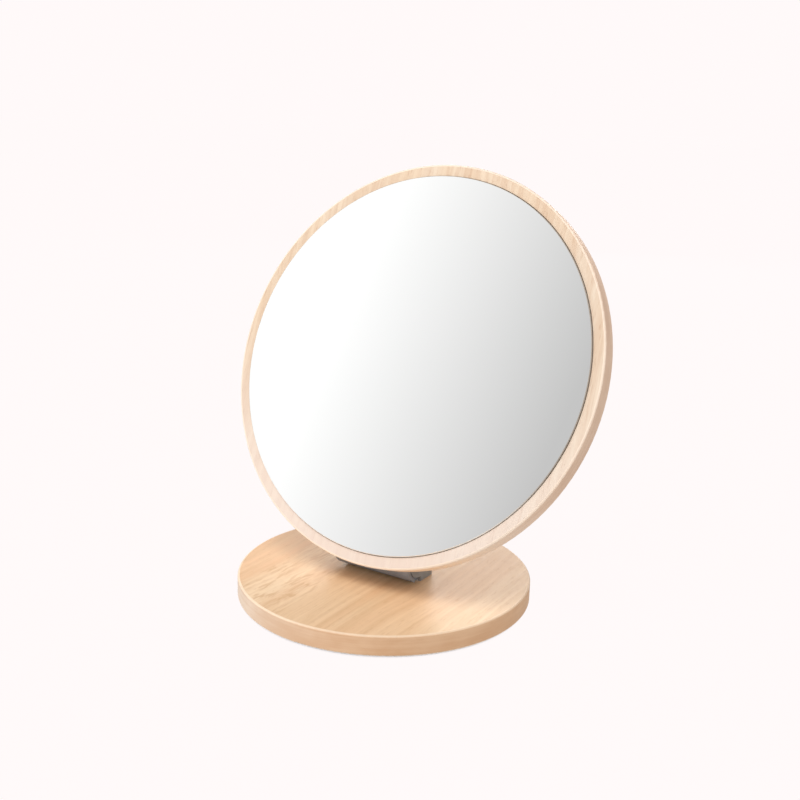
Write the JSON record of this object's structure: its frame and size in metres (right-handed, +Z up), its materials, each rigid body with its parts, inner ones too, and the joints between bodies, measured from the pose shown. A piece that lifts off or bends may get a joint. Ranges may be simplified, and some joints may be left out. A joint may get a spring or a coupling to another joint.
{
  "type": "tabletop mirror",
  "caption": "Round tabletop mirror: a wood-faced disc head with inset glass leans back on a steel friction hinge fixed to a smaller round wooden base.",
  "frame": {"origin": "on the table, under the centre of the base", "axes": "+Z up, the mirror faces -Y, +X to the right of somebody looking at the mirror"},
  "size_m": [0.195, 0.14, 0.2],
  "materials": {
    "board_core": "matte",
    "base_veneer": "satin",
    "head_veneer": "satin",
    "base_edge": "satin",
    "head_edge": "satin",
    "pad": "matte",
    "bracket_steel": "satin",
    "plated_steel": "zinc plated",
    "friction_washer": "matte",
    "sleeve": "matte",
    "clear_glass": "polished",
    "silvering": "mirror",
    "tape": "matte"
  },
  "bodies": {
    "base": {"base_core": "board_core", "base_top_veneer": "base_veneer", "base_bottom_veneer": "base_veneer", "base_edge_band": "base_edge", "base_pad_1": "pad", "base_pad_2": "pad", "base_pad_3": "pad", "base_pad_4": "pad", "base_pad_5": "pad", "base_pad_6": "pad", "base_bracket": "bracket_steel", "base_bracket_screw_1": "plated_steel", "base_bracket_screw_2": "plated_steel", "base_bracket_screw_3": "plated_steel", "base_bracket_screw_4": "plated_steel", "hinge_shaft": "plated_steel", "friction_washer_left": "friction_washer", "friction_washer_right": "friction_washer", "disc_spring_1": "plated_steel", "disc_spring_2": "plated_steel", "lock_nut": "plated_steel"},
    "head": {"head_core": "board_core", "head_front_veneer": "head_veneer", "head_back_veneer": "head_veneer", "head_edge_band": "head_edge", "mirror_glass": "clear_glass", "mirror_silvering": "silvering", "mirror_tape_1": "tape", "mirror_tape_2": "tape", "mirror_tape_3": "tape", "mirror_tape_4": "tape", "head_bracket": "bracket_steel", "shaft_sleeve": "sleeve", "head_bracket_screw_1": "plated_steel", "head_bracket_screw_2": "plated_steel", "head_bracket_screw_3": "plated_steel", "head_bracket_screw_4": "plated_steel"}
  },
  "joints": [
    {"name": "head_tilt", "type": "hinge", "parent": "base", "child": "head", "pos_m": [0, -0.002, 0.0209], "axis": [-1, 0, 0], "range_deg": [-30.4, 36.6]}
  ]
}
